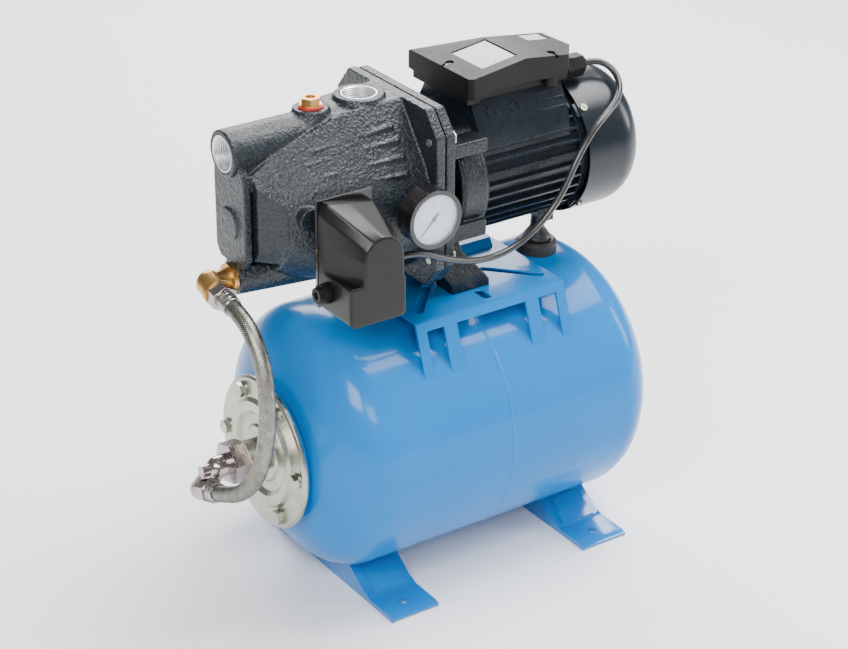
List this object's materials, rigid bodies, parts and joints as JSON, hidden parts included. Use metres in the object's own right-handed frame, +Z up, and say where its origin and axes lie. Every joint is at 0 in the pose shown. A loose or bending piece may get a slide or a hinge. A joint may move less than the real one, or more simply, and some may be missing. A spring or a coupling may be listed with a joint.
{
  "type": "centrifugal water pump",
  "caption": "Self-priming jet pump with motor, pressure switch, gauge and hose, mounted on a horizontal pressure tank on pressed feet.",
  "frame": {"origin": "centre of the four foot bolt holes, on the floor", "axes": "+Z up, +X along the motor and tank axis towards the fan cover, -Y towards the switch and gauge"},
  "size_m": [0.5048, 0.275, 0.5212],
  "materials": {
    "tank_paint": "gloss blue enamel",
    "casting_paint": "dark blue-grey paint on rough cast iron",
    "motor_paint": "satin blue-black paint",
    "box_plastic": "matte black moulding",
    "switch_plastic": "satin black moulding",
    "zinc": "bright zinc plate",
    "nickel": "nickel plate",
    "brass": "cast brass",
    "steel": "machined steel",
    "braid": "woven stainless wire",
    "rubber": "black rubber",
    "red_seal": "red sealing washer",
    "cable": "black sheath",
    "moulded_inner": "glass-filled moulding",
    "copper": "enamelled copper wire",
    "laminations": "silicon steel laminations",
    "dial_white": "white printed dial",
    "pointer_black": "black needle",
    "lens": "clear window",
    "capacitor_case": "white case"
  },
  "bodies": {
    "set": {"tank_shell_inlet": "tank_paint", "tank_shell_air": "tank_paint", "tank_foot_inlet": "tank_paint", "tank_foot_air": "tank_paint", "pump_bracket": "tank_paint", "tank_membrane": "rubber", "tank_flange": "zinc", "flange_bolts": "zinc", "air_valve": "brass", "pump_casing": "casting_paint", "motor_bracket": "casting_paint", "port_inserts": "zinc", "check_valve_cage": "moulded_inner", "priming_washer": "red_seal", "ejector_nozzle": "brass", "venturi_tube": "moulded_inner", "diffuser": "moulded_inner", "shaft_seal_seat": "moulded_inner", "bearing_front": "steel", "bearing_rear": "steel", "bracket_bolts": "zinc", "casing_bolts": "zinc", "casing_gasket": "rubber", "motor_frame": "motor_paint", "stator_core": "laminations", "stator_windings": "copper", "rear_end_shield": "motor_paint", "fan_cover": "motor_paint", "fan_cover_screws": "zinc", "motor_foot_post": "casting_paint", "motor_foot_pad": "rubber", "terminal_box_base": "box_plastic", "terminal_box_cover": "box_plastic", "box_cover_screws": "zinc", "box_gland": "box_plastic", "capacitor": "capacitor_case", "terminal_block": "moulded_inner", "switch_base": "zinc", "switch_cover": "switch_plastic", "switch_glands": "box_plastic", "gauge_case": "pointer_black", "gauge_dial": "dial_white", "gauge_lens": "lens", "brass_elbow": "brass", "tank_elbow": "nickel", "hose_nuts": "nickel", "hose_ferrules": "steel", "braided_hose": "braid", "motor_cable": "cable"},
    "rotor": {"motor_shaft": "steel", "rotor_core": "laminations", "impeller": "brass", "cooling_fan": "moulded_inner", "shaft_seal_ring": "steel"},
    "pointer": {"gauge_pointer": "pointer_black"},
    "lever": {"switch_lever": "zinc"},
    "poppet": {"check_valve_poppet": "moulded_inner"},
    "plug": {"priming_plug": "brass"},
    "valve_cap": {"air_valve_cap": "rubber"}
  },
  "joints": [
    {"name": "shaft_spin", "type": "hinge", "parent": "set", "child": "rotor", "pos_m": [0.06, 0, 0.4032], "axis": [1, 0, 0], "continuous": true},
    {"name": "pointer_turn", "type": "hinge", "parent": "set", "child": "pointer", "pos_m": [-0.0875, -0.113, 0.413], "axis": [0, 1, 0], "range_deg": [0, 270]},
    {"name": "lever_tilt", "type": "hinge", "parent": "set", "child": "lever", "pos_m": [-0.166, -0.0895, 0.366], "axis": [1, 0, 0], "range_deg": [0, 4], "stiffness_Nm_per_rad": 2, "springref_deg": -2.86},
    {"name": "poppet_slide", "type": "slide", "parent": "set", "child": "poppet", "axis": [1, 0, 0], "range_m": [0, 0.006], "stiffness_N_per_m": 60, "springref_m": -0.002},
    {"name": "plug_lift", "type": "slide", "parent": "set", "child": "plug", "axis": [0, 0, 1], "range_m": [0, 0.03]},
    {"name": "cap_pull", "type": "slide", "parent": "set", "child": "valve_cap", "axis": [1, 0, 0], "range_m": [0, 0.02]}
  ]
}
